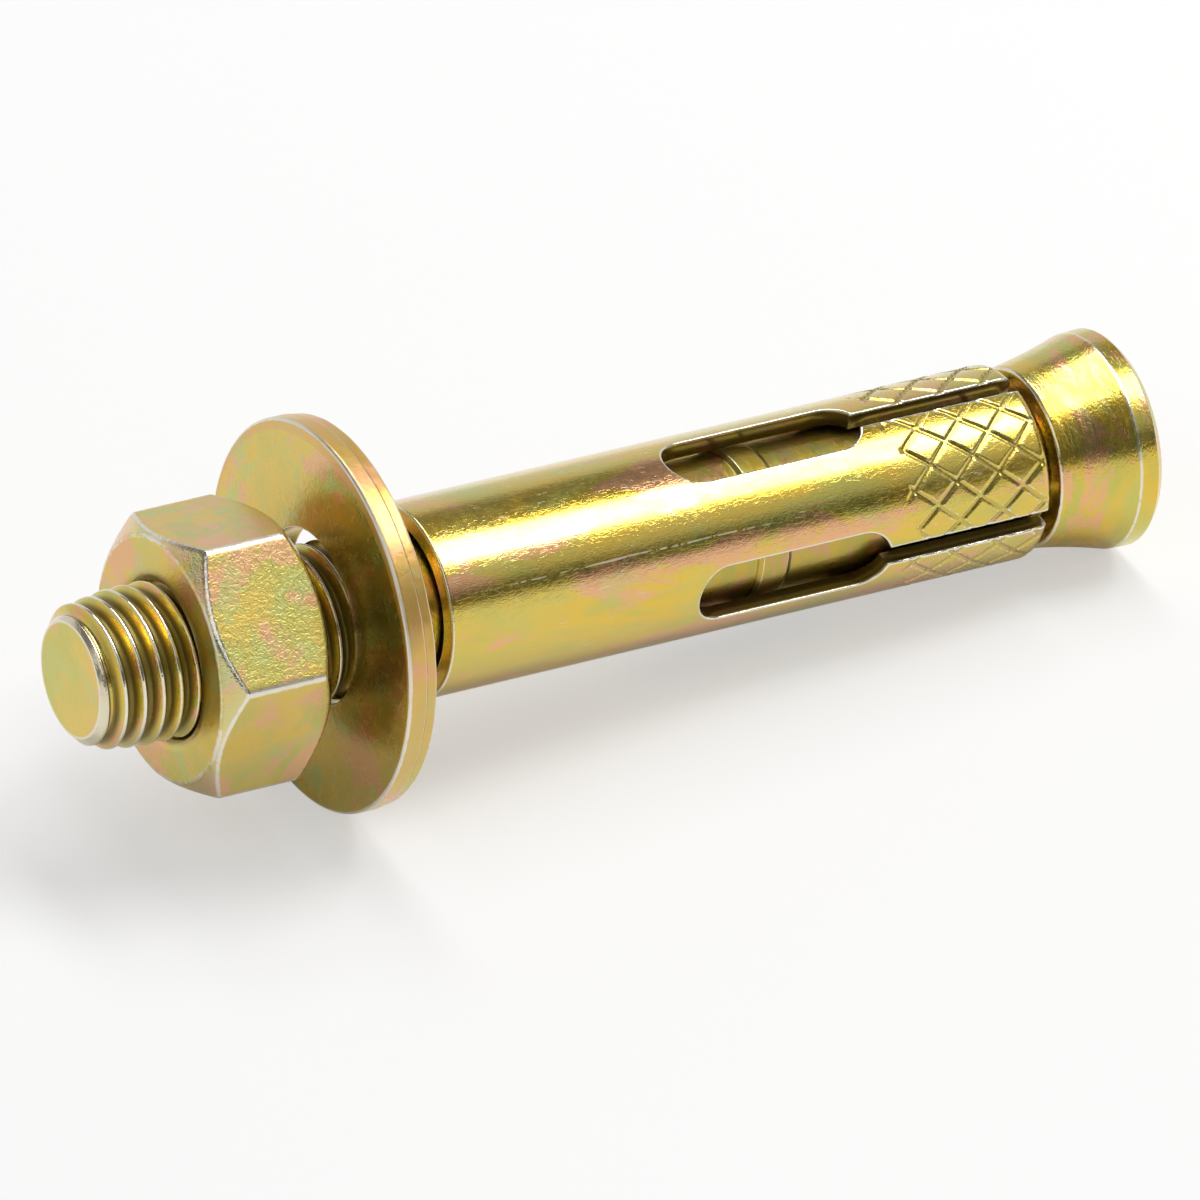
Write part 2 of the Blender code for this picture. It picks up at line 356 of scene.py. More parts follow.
# %% A finish for every piece
def yellow_zinc(
    name,
    extra,
    patch,
    gloss,
    strokes,
    stroke_height,
    wrinkles,
    wrinkle_height,
    grain=3.2,
    grain_height=0.010,
    stretch=1.0,
    pink_share=0.85,
    green_share=0.7,
    crease_shade_share=0.7,
    worn_gloss=0.22,
    coat=0.4,
    shift=0.0,
):
    """Plated steel with extra marks. Heights are in millimetres, the other sizes in waves per millimetre."""
    material = bpy.data.materials.new(name)
    material.use_nodes = True
    tree = material.node_tree
    shader = tree.nodes["Principled BSDF"]
    start = Wire(tree)
    here = start.node("ShaderNodeTexCoord", out="Object")
    lying = {"Location": tip_place, "Rotation": Euler((0, lying_tilt, 0)), "Scale": (0.001, 0.001, 0.001)}
    along = start.node("ShaderNodeMapping", {"vector_type": "TEXTURE"}, {"Vector": here, **lying})
    parts = start.node("ShaderNodeSeparateXYZ", values={"Vector": along})
    x, y, z = parts, parts.out("Y"), parts.out("Z")
    radius = (y * y + z * z) ** 0.5
    round_y, round_z = y / (radius + 0.001), z / (radius + 0.001)

    stretched = start.point(x * stretch, y, z)
    film = stretched.noise(patch, detail=2.5, distortion=0.35, offset=7.3 + shift)
    speckle = along.noise(1.3, detail=3.0, roughness=0.6, offset=31.0 + shift)
    ragged = (speckle - 0.5) * 0.07
    cloudy = {"detail": 4.0, "roughness": 0.6, "distortion": 0.6}
    pink = stretched.noise(patch * 1.4, offset=43.0 + shift, **cloudy) + ragged
    green = stretched.noise(patch * 1.7, offset=91.0 + shift, **cloudy) + ragged

    round_the_axis = start.point(x * strokes[0], round_y * strokes[1], round_z * strokes[1])
    stroke = round_the_axis.noise(1.0, detail=3.0, roughness=0.6, offset=3.0 + shift)
    skin = along.noise(grain, detail=3.0, roughness=0.55, distortion=0.4, offset=11.0 + shift)

    wear = start.node("ShaderNodeAttribute", {"attribute_name": "wear"}, out="Fac")
    hollow = start.node("ShaderNodeAttribute", {"attribute_name": "hollow"}, out="Fac")
    patchy = along.noise(2.2, detail=3.0, roughness=0.65, offset=19.0 + shift)
    worn = (wear * (0.60 + patchy * 0.8)).step(0.62, 0.92)
    sunk = (hollow * (0.5 + patchy)).step(0.3, 1.0)

    colour = start.node("ShaderNodeValToRGB", {"stops": film_stops}, {"Fac": film + ragged})
    colour = mixed(pink.step(0.50, 0.60) * pink_share, colour, rose)
    colour = mixed(green.step(0.52, 0.62) * green_share, colour, moss)
    # painted shade: hollows found from the mesh's bend are mixed towards brown
    colour = mixed(sunk * crease_shade_share, colour, painted_shade_brown)
    rough = gloss + (skin - 0.5) * 0.16 + (stroke - 0.5) * 0.12 + (speckle - 0.5) * 0.08
    colour, rough = extra(along, x, y, z, radius, colour, rough)
    colour = mixed(worn * 0.9, colour, bare_zinc)
    rough = rough + worn * (worn_gloss - gloss)
    long_way = start.point(x * wrinkles[0], y * wrinkles[1], z * wrinkles[1])
    creased = long_way.noise(1.0, detail=1.0, distortion=0.8, offset=23.0 + shift)
    wrinkle = (creased - 0.5).size().step(0.0, 0.13)
    height = skin * grain_height + stroke * stroke_height + wrinkle * wrinkle_height
    bump = start.node("ShaderNodeBump", values={"Strength": 1.0, "Distance": 0.001, "Height": height})
    tree.links.new(colour.socket, shader.inputs["Base Color"])
    tree.links.new(rough.socket, shader.inputs["Roughness"])
    tree.links.new(bump.socket, shader.inputs["Normal"])
    shader.inputs["Metallic"].default_value = 1.0
    shader.inputs["Coat Weight"].default_value = coat
    shader.inputs["Coat Roughness"].default_value = 0.16
    print(name, "has", len(tree.nodes), "nodes")
    return material


# %% [markdown]
# ## Where edges wear
# At each vertex the surface bends by some angle over some distance. Bending outwards fast means an
# edge that rubs, bending inwards fast means a hollow, which the finish darkens as painted shade. Both
# are stored in the mesh, so the material needs no camera and no render setting to find them. A Pointiness
# node would be shorter, but it follows how fine the mesh is and would be lost outside this renderer.

# %% Measuring the bend
mild_bend = 1.0
sharp_bend = 3.2
flat_angle = 0.03
narrow_face = 0.02
wide_face = 0.4


def write_values(mesh, label, values):
    mesh.attributes.new(label, "FLOAT", "POINT").data.foreach_set("value", values.astype(np.float32))


def store_bend(mesh):
    """Writes wear and hollow, each from 0 to 1, for bends between mild and sharp, per millimetre."""
    bm = bmesh.new()
    bm.from_mesh(mesh)
    outwards = np.zeros(len(bm.verts))
    inwards = np.zeros(len(bm.verts))
    for edge in bm.edges:
        if len(edge.link_faces) != 2:
            continue
        angle = edge.calc_face_angle_signed(0)
        if abs(angle) < flat_angle:
            continue
        length = max(edge.calc_length(), tiny)
        across = max(sum(f.calc_area() for f in edge.link_faces) / (2 * length), narrow_face)
        bend = angle / min(across, wide_face)
        for vertex in edge.verts:
            outwards[vertex.index] = max(outwards[vertex.index], bend)
            inwards[vertex.index] = max(inwards[vertex.index], -bend)
    pairs = np.array([[v.index for v in edge.verts] for edge in bm.edges])
    bm.free()
    wear = np.clip((outwards - mild_bend) / (sharp_bend - mild_bend), 0, 1)
    hollow = np.clip((inwards - mild_bend) / (sharp_bend - mild_bend), 0, 1)
    between = (wear[pairs[:, 0]] + wear[pairs[:, 1]]) / 2
    for end in (0, 1):
        np.minimum.at(wear, pairs[:, end], between)
    write_values(mesh, "wear", wear)
    write_values(mesh, "hollow", hollow)


def lay_down(name, mesh, body, node, material, wear=None):
    """Puts a finished mesh in the world, in place of its solid."""
    store_bend(mesh)
    if wear:
        wear(mesh)
    mesh.transform(lying_down)
    mesh.materials.clear()
    mesh.materials.append(material)
    piece = new_object(name, mesh)
    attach(piece, body)
    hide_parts(node)
    print(name, "rides on", body, "with", len(mesh.polygons), "faces")


# %% [markdown]
# ## The stud: a thread that is wound by nodes
# A thread is rolled, not cut: the section of one turn is pressed into the steel along a helix. The
# same thought makes the mesh. A flat sheet holds the section again and again, and a geometry tree
# winds the sheet round the axis, moving it on by one pitch in a turn. At the tip it is cut off by
# the chamfer, and at its end it runs out into the plain shank. The rest of the outline rides on
# the same sheet but doesn't move on, so shank, collar, neck and flare are simply turned.

# %% Thread and stud sizes
thread_radius = 4.0
thread_pitch = 1.0
thread_root = 3.4587
thread_start = 0.16
thread_end = 16.9
thread_run_in = 0.25
thread_run_out = 0.8
tip_radius = 3.0
tip_chamfer = 0.6
lead_length = 3.0
lead_drop = 0.4
shank_radius = 3.78
guide_radius = 3.95
neck_radius = 3.4
shoulder_radius = 4.65
flare_radius = 5.55
land_radius = 5.6
collar_start = 37.4
collar_end = 38.8
lead_in_start = 51.25
lead_in_end = 53.15
shoulder_front = 54.25
flare_end = 58.45
land_end = 59.45
stud_end = 59.8
stud_columns = 144
print("the thread has", int(thread_end / thread_pitch), "turns and the stud is", stud_end, "mm long")


# %% The stud's outline
def thread_sheet_rows():
    """Corners of the thread's section over all turns, as (x, radius, rounding)."""
    root_flat, crest_flat = thread_pitch / 4, thread_pitch / 8
    flank = (thread_pitch - root_flat - crest_flat) / 2
    rows = []
    for turn in range(-2, int(thread_end / thread_pitch) + 2):
        x = turn * thread_pitch
        rows.append((x, thread_root, 0.09))
        rows.append((x + root_flat, thread_root, 0.09))
        rows.append((x + root_flat + flank, thread_radius, 0.05))
        rows.append((x + root_flat + flank + crest_flat, thread_radius, 0.05))
    return rows


def stud_outline():
    """The turned part of the outline behind the thread."""
    hollow = 0.08
    corners = [(thread_end, shank_radius, 0), (collar_start - 0.25, shank_radius, 0.2)]
    corners += [(collar_start, guide_radius, 0.15), (collar_end, guide_radius, 0.15)]
    corners += [(collar_end + 0.25, shank_radius, 0.2), (lead_in_start - 0.2, shank_radius, 0.15)]
    corners += [(lead_in_start, guide_radius, 0.12), (lead_in_end, guide_radius, 0.12)]
    corners += [(lead_in_end + 0.2, neck_radius, 0.15), (shoulder_front, neck_radius, 0.15)]
    corners += [(shoulder_front, shoulder_radius, 0.22)]
    for step in range(1, 6):
        share = step / 6
        x = shoulder_front + (flare_end - shoulder_front) * share
        r = shoulder_radius + (flare_radius - shoulder_radius) * share - 4 * hollow * share * (1 - share)
        corners.append((x, r, 2.0))
    corners += [(flare_end, flare_radius, 0.05), (land_end, land_radius, 0.12)]
    corners += [(stud_end, land_radius - 0.35, 0.08), (stud_end, 0.0, 0)]
    return corners


# %% [markdown]
# ### The stud's finish
# Rolled crests are the first to rub bare, and the valleys between them get painted shade in brown.
# Both follow from how far a point lies below the crest. A thin bare ring marks where the flare ends.

# %% Stud finish
def stud_marks(along, x, y, z, radius, colour, rough):
    """Painted shade in the valleys and on the shank inside the sleeve, bare crests, a rubbed tip and the
    ring on the flare.
    """
    crest_radius = thread_radius - lead_drop * (1 - x / lead_length).highest(0.0)
    below = crest_radius - radius
    run_out_start = thread_end - thread_run_out
    threaded = x.step(tip_chamfer - 0.05, tip_chamfer + 0.25) * (1 - x.step(run_out_start, thread_end))
    worn = along.noise(1.6, detail=3.0, roughness=0.7, offset=71.0)
    valley_shade = below.step(0.10, 0.45) * threaded
    crest = (1 - below.step(0.02, 0.07)) * threaded * (0.35 + worn).lowest(1.0)
    ring_place = (x - flare_end + (worn - 0.5) * 0.10).size()
    ring = (1 - ring_place.step(0.04, 0.10)) * radius.step(4.8, 5.2) * worn.step(0.30, 0.45)
    tip = (1 - x.step(tip_chamfer * 0.4, tip_chamfer)) * radius.step(tip_radius - 0.16, tip_radius - 0.06)
    sleeve_shade = x.step(sleeve_front, sleeve_front + 2.0) * (1 - x.step(sleeve_rear - 1.0, sleeve_rear))
    # painted shade: the valleys and the shank inside the sleeve are mixed towards brown
    colour = mixed((valley_shade * 0.92).highest(sleeve_shade * 0.35), colour, painted_shade_brown)
    colour = mixed((crest.highest(ring) * 0.85).highest(tip * 0.7), colour, bare_zinc)
    return colour, rough - crest * 0.08 + valley_shade * 0.30 + sleeve_shade * 0.08


# %% A tree that winds the sheet into a stud
stud_sizes = {
    "Pitch": thread_pitch,
    "Thread start": thread_start,
    "Thread end": thread_end,
    "Run-in": thread_run_in,
    "Run-out": thread_run_out,
    "Thread radius": thread_radius,
    "Shank radius": shank_radius,
    "Tip radius": tip_radius,
    "Chamfer": tip_chamfer,
    "Lead length": lead_length,
    "Lead drop": lead_drop,
}
winding, wire = geometry_tree("wind the thread", {label: "NodeSocketFloat" for label in stud_sizes})
sheet = wire["Geometry"]
place = sheet.node("GeometryNodeInputPosition")
flat = sheet.node("ShaderNodeSeparateXYZ", values={"Vector": place})
winds = sheet.node("GeometryNodeInputNamedAttribute", {"data_type": "FLOAT"}, {"Name": "winds"})
turn_share, sheet_radius = flat.out("Y"), flat.out("Z")
moved_on = (flat + wire["Pitch"] * turn_share).highest(wire["Thread start"]).lowest(wire["Thread end"])
drop = wire["Lead drop"] * (1 - moved_on / wire["Lead length"]).highest(0.0)
lead_radius = wire["Thread radius"] - wire["Lead drop"]
on_chamfer = wire["Tip radius"] + moved_on * (lead_radius - wire["Tip radius"]) / wire["Chamfer"]
run_in = ((moved_on - wire["Thread start"]) / wire["Run-in"]).lowest(1.0)
led_radius = on_chamfer + ((sheet_radius - drop).lowest(on_chamfer) - on_chamfer) * run_in
held = ((wire["Thread end"] - moved_on) / wire["Run-out"]).lowest(1.0)
thread_surface = wire["Shank radius"] + (led_radius - wire["Shank radius"]) * held
along_x = winds * moved_on + (1 - winds) * flat
final_radius = winds * thread_surface + (1 - winds) * sheet_radius
turned = turn_share * (2 * pi)
wound = sheet.point(along_x, final_radius * turned.take("COSINE"), final_radius * turned.take("SINE"))
placed = sheet.node("GeometryNodeSetPosition", values={"Geometry": sheet, "Position": wound})
merged = placed.node("GeometryNodeMergeByDistance", values={"Geometry": placed, "Distance": merge_distance})
stud_zinc = yellow_zinc(
    "stud_zinc",
    stud_marks,
    patch=0.22,
    gloss=0.24,
    strokes=(7.0, 2.2),
    stroke_height=0.006,
    wrinkles=(3.0, 2.2),
    wrinkle_height=0.003,
    stretch=1.8,
    green_share=0.5,
)
finish_tree(merged, stud_zinc)
print("the winding tree has", len(winding.nodes), "nodes")

# %% The stud's mesh
thread_rows = split_long(round_corners(thread_sheet_rows(), steps=2), 0.3)
start_radius = tip_radius + thread_start * (thread_radius - lead_drop - tip_radius) / tip_chamfer
tip_corners = [(0, 0, 0), (0, tip_radius, 0.07), (thread_start, start_radius, 0)]
tip_rows = split_long(round_corners(tip_corners, steps=4), 0.9)[:-1]
plain_rows = split_long(round_corners(stud_outline(), steps=4), 0.6)
stud_rows = np.array(tip_rows + thread_rows + plain_rows)
columns = np.linspace(0, 1, stud_columns + 1)
row_x, row_radius = [np.repeat(stud_rows[:, i : i + 1], len(columns), 1) for i in (0, 1)]
sheet_places = np.stack([row_x, np.tile(columns, (len(stud_rows), 1)), row_radius], -1)
stud_sheet = grid_mesh("stud", sheet_places, False, False)
row_number = np.arange(len(stud_rows)) - len(tip_rows)
row_winds = (row_number >= 0) & (row_number < len(thread_rows))
write_values(stud_sheet, "winds", np.repeat(row_winds, len(columns)))
stud_mesh = run_tree(winding, stud_sheet, stud_sizes)
stud_mesh.name = "stud"
clean_mesh(stud_mesh)
lay_down("threaded_stud", stud_mesh, "stud", "stud_bolt", stud_zinc)

# %% [markdown]
# ## The nut: where six flats meet two cones
# A hexagon nut is forged, tapped, and turned to a cone on both faces, which leaves the curved
# edges round each flat. Instead of cutting one solid with another, the radius is worked out for
# each direction: the flats and the cone each give one, and the smaller one counts. A soft minimum
# rounds the edge between them as wear does. In use the spanner and the bench rub the cones beside
# the flats and the lines where faces meet, so both are marked on the mesh for the finish.

# %% Nut sizes
nut_flat = 6.5
nut_turn = radians(46)
nut_columns = 384
corner_power = 84
edge_blend = 0.21
nut_face_radius = 6.25
cone_slope = 0.76
nut_bore = 4.15
countersink = 0.22
edge_line = 0.16
cone_rub = 1.9
blank_radius = 8.3
plain_face_radius = 5.9
tapped_crest = 3.53
tapped_root = 4.07
tapped_fade = 0.5
cone_spacing = 0.09
side_spacing = 0.22
face_spacing = 0.3
print("the nut is", 2 * nut_flat, "mm across flats and", nut_height, "mm high")


# %% The nut's mesh
def soft_lowest(a, b, blend):
    """The smaller of two numbers, rounded where they are nearly equal."""
    gap = np.maximum(blend - np.abs(a - b), 0) / blend
    return np.minimum(a, b) - gap * gap * blend / 4


def nut_rows():
    """The chamfered blank from countersink to countersink, as (x, radius) along the outside."""
    mouth = nut_bore + countersink
    deep = (blank_radius - nut_face_radius) * cone_slope
    corners = [(0, mouth, 0), (0, nut_face_radius, 0.35), (deep, blank_radius, 0)]
    corners += [(nut_height - x, r, rounding) for x, r, rounding in reversed(corners)]
    kept = []
    for x, r in split_long(round_corners(corners, steps=5), cone_spacing):
        on_side = r >= blank_radius - tiny and deep < x < nut_height - deep
        on_face = x < tiny or x > nut_height - tiny
        if on_side and kept and x - kept[-1][0] < side_spacing:
            continue
        if on_face and kept and abs(r - kept[-1][1]) < face_spacing and r < nut_face_radius - 0.3:
            continue
        kept.append((x, r))
    return np.array(kept)


def ring(x, reach, angles):
    """One row of points round the axis."""
    return np.stack([x, reach * np.cos(angles), reach * np.sin(angles)], -1)


def inner_thread(angles):
    """Rows of the tapped bore from the rear mouth back to the front one."""
    section = [(0.02, tapped_crest), (0.23, tapped_crest), (0.545, tapped_root), (0.705, tapped_root)]
    turns = range(-2, int(nut_height) + 3)
    profile = [(turn * thread_pitch + x, r) for turn in turns for x, r in section]
    rows = []
    low, high = countersink, nut_height - countersink
    for x, r in reversed(profile):
        at = np.clip(x + thread_pitch * angles / (2 * pi), low, high)
        fade = np.clip(np.minimum(at - low, high - at) / tapped_fade, 0, 1)
        rows.append(ring(at, nut_bore + (r - nut_bore) * fade, angles))
    return rows


def make_nut():
    angles = np.linspace(0, 2 * pi, nut_columns + 1)
    towards = (angles - nut_turn) % (pi / 3)
    first = np.cos(towards - pi / 6)
    other = np.cos(pi / 3 - np.abs(towards - pi / 6))
    flats = nut_flat / (first**corner_power + other**corner_power) ** (1 / corner_power)
    places = []
    for x, r in nut_rows():
        plain_face = (x < tiny or x > nut_height - tiny) and r < plain_face_radius
        reach = np.full_like(angles, r) if plain_face else soft_lowest(flats, r, edge_blend)
        places.append(ring(np.full_like(angles, x), reach, angles))
    places = np.array(places + inner_thread(angles))
    places[..., 0] += nut_front
    return clean_mesh(grid_mesh("nut", places, True, False))


def wear_nut(mesh):
    """Marks the lines where flats, cones and faces meet, and a fading rub on the cones."""
    places = np.array([v.co[:] for v in mesh.vertices])
    x = places[:, 0] - nut_front
    r = np.hypot(places[:, 1], places[:, 2])
    towards = (np.arctan2(places[:, 2], places[:, 1]) - nut_turn) % (pi / 3)
    to_flat = nut_flat - r * np.cos(towards - pi / 6)
    to_next = nut_flat - r * np.cos(pi / 3 - np.abs(towards - pi / 6))
    from_face = np.minimum(x, nut_height - x)
    to_cone = (from_face / cone_slope + nut_face_radius - r) * cone_slope / sqrt(1 + cone_slope**2)
    outside = r > nut_face_radius - 0.3
    near = np.sort(np.stack([to_flat, to_next * 0.5, to_cone, from_face]), axis=0)[1]
    line = np.clip(1.35 - near / edge_line, 0, 1) * outside
    line[(to_flat > 0.3) & (from_face < 0.5)] *= 0.75
    rub = np.clip(1 - to_flat / cone_rub, 0, 1) * (to_cone < 0.08) * (from_face > 0.08) * outside
    mesh.attributes["wear"].data.foreach_set("value", line.astype(np.float32))
    write_values(mesh, "rub", rub)


# %% Nut finish
def nut_marks(along, x, y, z, radius, colour, rough):
    """Cones rubbed pale beside the flats, and flats a little paler than the faces."""
    rub = along.node("ShaderNodeAttribute", {"attribute_name": "rub"}, out="Fac")
    flats = radius.step(nut_face_radius, nut_face_radius + 0.3)
    return mixed((rub * 0.32).highest(flats * 0.08), colour, bare_zinc), rough - rub * 0.20


nut_zinc = yellow_zinc(
    "nut_zinc",
    nut_marks,
    patch=0.22,
    gloss=0.36,
    strokes=(2.0, 6.0),
    stroke_height=0.003,
    wrinkles=(3.6, 3.6),
    wrinkle_height=0.0045,
    grain=3.6,
    grain_height=0.013,
    worn_gloss=0.34,
    shift=40.0,
)
lay_down("hexagon_nut", make_nut(), "nut", "hex_nut", nut_zinc, wear_nut)

# %% [markdown]
# ## The washer: a rim in two tones
# A washer is punched from strip. The punch shears the front part of the rim smooth and tears the
# rest, which stays a little smaller and rougher. The face that met the die first has the rounder
# edge. It is a turned ring, and the torn part gets small bumps in the mesh itself.

# %% Washer
washer_radius = 10.05
washer_hole = 4.5
sheared = 0.96
washer_columns = 320


def make_washer():
    rim = washer_radius
    torn = rim - 0.07
    corners = [(0, washer_hole, 0.10), (0, rim, 0.20), (sheared, rim - 0.004, 0.05)]
    corners += [(sheared + 0.06, torn, 0.05), (washer_thickness, torn - 0.03, 0.10)]
    corners.append((washer_thickness, washer_hole, 0.14))
    outline = split_long(round_corners(corners, closed=True, steps=4), 0.35, closed=True)
    mesh = turned_mesh("washer", outline, washer_columns)
    for vertex in mesh.vertices:
        x, y, z = vertex.co
        reach = sqrt(y * y + z * z)
        if reach > torn - 0.2 and x > sheared + 0.05:
            rough = noise.noise(Vector((x * 4, y * 2.2, z * 2.2))) * 0.02
            vertex.co.y, vertex.co.z = y * (1 + rough / reach), z * (1 + rough / reach)
        vertex.co.x = x + washer_front
        vertex.co.z += washer_lift
    return clean_mesh(mesh)


# %% Washer finish
def washer_marks(along, x, y, z, radius, colour, rough):
    """Painted shade, a little brown all over and most towards the hole, and a duller, pinker rim."""
    hole_shade = 1 - radius.step(washer_hole, washer_radius - 1.0)
    rim = radius.step(washer_radius - 0.3, washer_radius - 0.15)
    # painted shade: a little brown everywhere, more towards the hole
    colour = mixed(hole_shade * 0.2 + 0.08, colour, painted_shade_brown)
    return mixed(rim * 0.4, colour, rose), rough + rim * 0.14


washer_zinc = yellow_zinc(
    "washer_zinc",
    washer_marks,
    patch=0.19,
    gloss=0.25,
    strokes=(0.8, 14.0),
    stroke_height=0.004,
    wrinkles=(2.0, 1.6),
    wrinkle_height=0.003,
    grain=2.6,
    grain_height=0.006,
    green_share=0.9,
    shift=80.0,
)
lay_down("flat_washer_ring", make_washer(), "washer", "flat_washer", washer_zinc)

# %% [markdown]
# ## The sleeve: pressed grooves and punched windows
# The sleeve is strip steel with four windows, each run out through the rear end as a slit. Its
# rear band carries a diamond pattern of pressed grooves that grip the wall of the hole. Both
# repeat by rule, so two geometry trees make them: one presses the grooves into a fine tube, the
# other sets a cutter round the axis and takes it away. The cutter flares just below the surface,
# which rounds every window edge.

# %% Sleeve sizes
sleeve_radius = 5.0
bore_radius = 4.06
sleeve_columns = 384
groove_band_start = 45.4
groove_count = 15
groove_advance = 2.48
groove_width = 0.30
groove_depth = 0.085
groove_lip = 0.012
window_count = 4
window_apart = 2 * pi / window_count
window_turn = radians(7)
window_start = 33.2
window_end = 44.25
window_half = 1.6
slit_half = 0.5
seam_half = 0.15
edge_rounding = 0.10
long_scratch_turn = radians(149)
print("the sleeve's wall is", round(sleeve_radius - bore_radius, 2), "mm thick")

# %% A tree that presses the grooves
groove_sizes = {
    "Radius": sleeve_radius,
    "Band start": groove_band_start,
    "Band end": sleeve_rear - 0.1,
    "Grooves round": float(groove_count),
    "Advance": groove_advance,
    "Width": groove_width,
    "Depth": groove_depth,
    "Lip": groove_lip,
}
pressing, wire = geometry_tree("press the grooves", {label: "NodeSocketFloat" for label in groove_sizes})
tube = wire["Geometry"]
place = tube.node("GeometryNodeInputPosition")
parts = tube.node("ShaderNodeSeparateXYZ", values={"Vector": place})
x, y, z = parts, parts.out("Y"), parts.out("Z")
reach = (y * y + z * z).take("SQRT")
round_share = z.maths("ARCTAN2", z, y) / (2 * pi) * wire["Grooves round"]
per_mm = ((wire["Grooves round"] / (2 * pi * wire["Radius"])) ** 2.0 + (1.0 / wire["Advance"]) ** 2.0) ** 0.5
wander = tube.node("ShaderNodeTexNoise", values={"Vector": place, "Scale": 0.55, "Detail": 1.0})
ragged = tube.node("ShaderNodeTexNoise", values={"Vector": place, "Scale": 1.1, "Detail": 2.0})
inside_band = (x + (ragged - 0.5) * 1.8).step(wire["Band start"] - 0.15, wire["Band start"] + 0.35)
inside_band = inside_band * (1 - x.step(wire["Band end"] - 0.25, wire["Band end"]))
pressed = None
for sense, phase in ((1.0, 0.345), (-1.0, 0.199)):
    counted = round_share + x / wire["Advance"] * sense + phase + (wander - 0.5) * 0.10
    off = ((counted + 0.5).take("FRACT") - 0.5).size() / per_mm
    half = wire["Width"] / 2
    dip = (1 - off.step(half * 0.45, half)) * wire["Depth"]
    lip = off.step(half * 0.8, half * 1.15) * (1 - off.step(half * 1.25, half * 1.9)) * wire["Lip"]
    shape = dip - lip
    pressed = shape if pressed is None else pressed.highest(shape)
outside = reach.step(wire["Radius"] - 0.3, wire["Radius"] - 0.05)
depth = pressed * inside_band * outside
shrink = (reach - depth) / reach
moved = tube.point(x, y * shrink, z * shrink)
sunk = tube.node("GeometryNodeSetPosition", values={"Geometry": tube, "Position": moved})
print("the pressing tree has", len(pressing.nodes), "nodes")

# %% [markdown]
# ### The sleeve's finish
# The grooved band was pressed after the strip was rolled, so its film looks a little greener and
# flatter than the smooth part. Long fine scratches run along the sleeve from handling. The punched
# walls of the windows are rough, and since little light reaches them they are painted dark brown as
# painted shade. The edges above them are rubbed bare. All of these places follow from the sizes of
# the windows, so the material works them out and needs no image texture.

# %% Sleeve finish
def scratches(along, x, y, z, radius):
    """Fine scratches all round, a long dashed one on the photographed side, and a ragged share."""
    lines = x.point(x * 0.12, y * 2.6, z * 2.6)
    thin = lines.noise(1.0, detail=2.0, offset=53.0)
    broken = along.noise(0.8, detail=3.0, roughness=0.7, offset=61.0).step(0.56, 0.64)
    fine = (1 - (thin - 0.5).size().step(0.002, 0.006)) * broken
    from_line = ((z.maths("ARCTAN2", z, y) - long_scratch_turn) * sleeve_radius + (thin - 0.5) * 0.5).size()
    dashes = along.noise(1.5, detail=2.0, roughness=0.7, offset=67.0).step(0.42, 0.52)
    reach = x.step(19.0, 24.0) * (1 - x.step(35.0, 41.0))
    long_one = (1 - from_line.step(0.03, 0.08)) * dashes * reach
    return fine.highest(long_one) * radius.step(4.9, 4.97), thin


def window_distance(x, y, z, radius):
    """How far a point lies outside the nearest window or slit, seen straight from above it."""
    window_share = (z.maths("ARCTAN2", z, y) - window_turn) / window_apart + 0.5
    across = (((window_share.take("FRACT") - 0.5) * window_apart).take("SINE") * radius).size()
    beside = x - x.highest(window_start + window_half).lowest(window_end - window_half)
    from_window = (beside * beside + across * across) ** 0.5 - window_half
    return from_window.lowest((across - slit_half).highest(window_end - window_half - x))


def sleeve_marks(along, x, y, z, radius, colour, rough):
    """Scratches, the tone of the grooved band, the bare edges of the windows and painted shade on their
    walls.
    """
    scratch, thin = scratches(along, x, y, z, radius)
    from_window = window_distance(x, y, z, radius)
    edge = (1 - (from_window - 0.05).size().step(0.04, 0.10)) * radius.step(4.84, 4.90)
    shaded_wall = (1 - radius.step(4.80, 4.90)) * (1 - from_window.step(0.0, 0.1))
    band = x.step(groove_band_start - 0.1, groove_band_start + 0.3)
    colour = mixed(band * 0.15, colour, olive)
    # painted shade: the window walls are made dark brown
    colour = mixed(shaded_wall * 0.9, colour, shaded_brown)
    colour = mixed((scratch * 0.7).highest(edge * (0.35 + thin)), colour, bare_zinc)
    return colour, rough + scratch * 0.25 + band * 0.04 + shaded_wall * 0.4


sleeve_zinc = yellow_zinc(
    "sleeve_zinc",
    sleeve_marks,
    patch=0.30,
    gloss=0.21,
    strokes=(0.8, 16.0),
    stroke_height=0.003,
    wrinkles=(2.2, 5.4),
    wrinkle_height=0.0023,
    grain_height=0.004,
    stretch=0.36,
    pink_share=0.95,
    green_share=0.35,
    crease_shade_share=0.34,
    coat=0.8,
    shift=120.0,
)
finish_tree(sunk, sleeve_zinc)

# %% A tree that punches windows
labels = {"Cutter": "NodeSocketObject", "Count": "NodeSocketInt", "Turn": "NodeSocketFloat"}
punching, wire = geometry_tree("punch the windows", labels)
tube = wire["Geometry"]
cutter_shape = tube.node("GeometryNodeObjectInfo", values={"Object": wire["Cutter"]}, out="Geometry")
centres = tube.node("GeometryNodeMeshLine", values={"Count": wire["Count"], "Offset": (0, 0, 0)})
number = tube.node("GeometryNodeInputIndex")
angle = wire["Turn"] + number * (2 * pi) / wire["Count"]
rotation = tube.node("FunctionNodeEulerToRotation", values={"Euler": tube.point(angle, 0.0, 0.0)})
copies = {"Points": centres, "Instance": cutter_shape, "Rotation": rotation}
cutters = tube.node("GeometryNodeInstanceOnPoints", values=copies)
cutters = tube.node("GeometryNodeRealizeInstances", values={"Geometry": cutters})
taking_away = {"operation": "DIFFERENCE", "solver": "MANIFOLD"}
